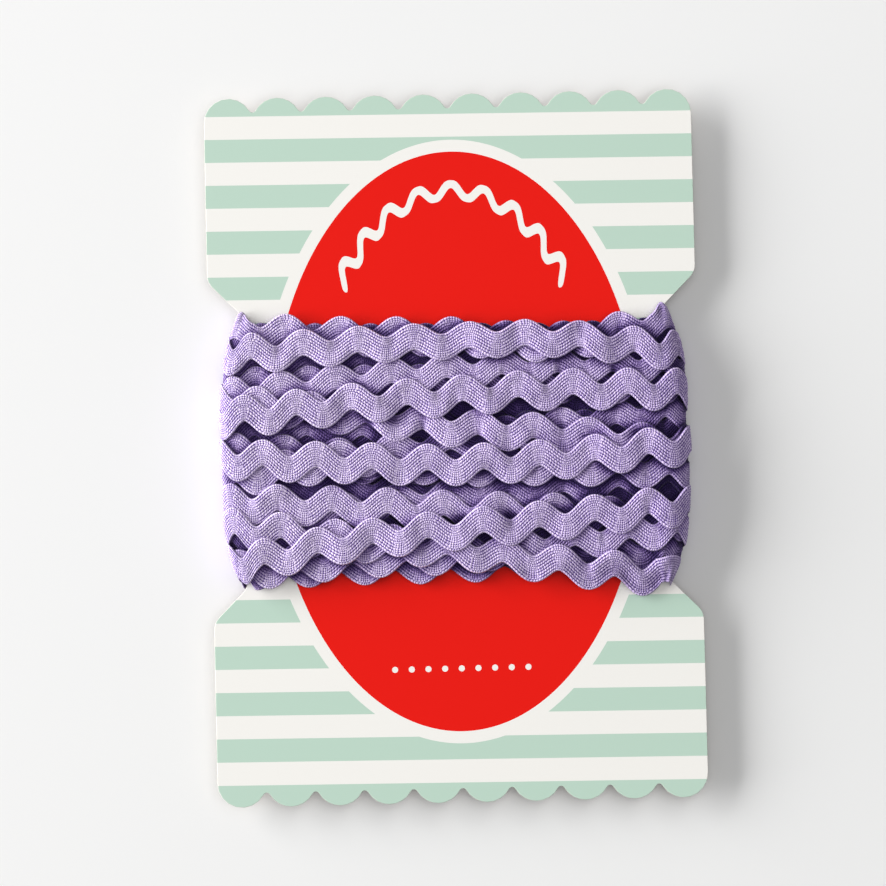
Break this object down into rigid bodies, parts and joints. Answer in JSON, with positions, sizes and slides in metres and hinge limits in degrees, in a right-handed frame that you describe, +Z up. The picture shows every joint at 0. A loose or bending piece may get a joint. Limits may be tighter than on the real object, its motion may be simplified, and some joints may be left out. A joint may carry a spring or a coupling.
{
  "type": "ric rac braid wound on a card",
  "caption": "Wavy woven ric rac braid wound in many turns round the notched waist of a flat card with scalloped ends, lying face up.",
  "frame": {"origin": "bottom centre of the whole object, on the surface that the braid's back turns rest on", "axes": "+X across the card along the turns, +Y towards the card's top scalloped edge, +Z up out of the printed face"},
  "size_m": [0.1, 0.145, 0.0065],
  "materials": {
    "printed_card": "satin white card printed in pale green and cream stripes with a red oval",
    "lilac_braid": "matt woven cotton with a soft sheen"
  },
  "bodies": {
    "root": {"card": "printed_card", "ric_rac_winding": "lilac_braid"}
  },
  "joints": []
}
